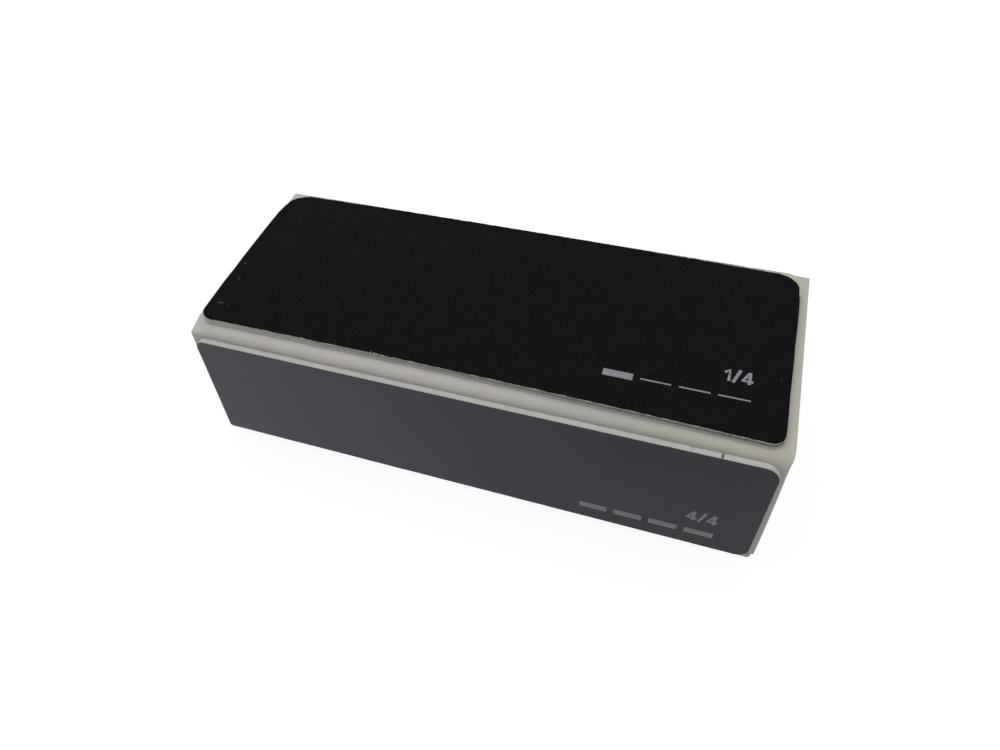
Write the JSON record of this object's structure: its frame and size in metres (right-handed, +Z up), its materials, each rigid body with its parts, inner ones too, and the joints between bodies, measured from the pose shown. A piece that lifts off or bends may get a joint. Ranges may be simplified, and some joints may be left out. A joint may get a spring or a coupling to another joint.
{
  "type": "four-way nail buffer",
  "caption": "Hand-held foam block with a laminated abrasive strip on each long side, for filing, levelling, smoothing and shining fingernails.",
  "frame": {"origin": "middle of the footprint, on the surface that the buffer lies on, under the smooth strip", "axes": "+X along the block, +Z up with the file strip on top, -Y out of the shine strip, which faces the picture's camera"},
  "size_m": [0.0958, 0.0414, 0.028],
  "materials": {
    "block_foam": "matte",
    "cushion_foam": "matte",
    "mounting_tape": "satin",
    "glue": "gloss",
    "backing_paper": "matte",
    "backing_film": "satin",
    "file_grit": "matte",
    "level_grit": "matte",
    "smooth_grit": "matte",
    "shine_finish": "satin"
  },
  "bodies": {
    "root": {"foam_block": "block_foam", "file_tape": "mounting_tape", "file_cushion": "cushion_foam", "file_glue_film": "glue", "file_paper": "backing_paper", "file_coat": "file_grit", "level_tape": "mounting_tape", "level_cushion": "cushion_foam", "level_glue_film": "glue", "level_paper": "backing_paper", "level_coat": "level_grit", "smooth_tape": "mounting_tape", "smooth_cushion": "cushion_foam", "smooth_glue_film": "glue", "smooth_paper": "backing_paper", "smooth_coat": "smooth_grit", "shine_tape": "mounting_tape", "shine_cushion": "cushion_foam", "shine_glue_film": "glue", "shine_film": "backing_film", "shine_coat": "shine_finish"}
  },
  "joints": []
}
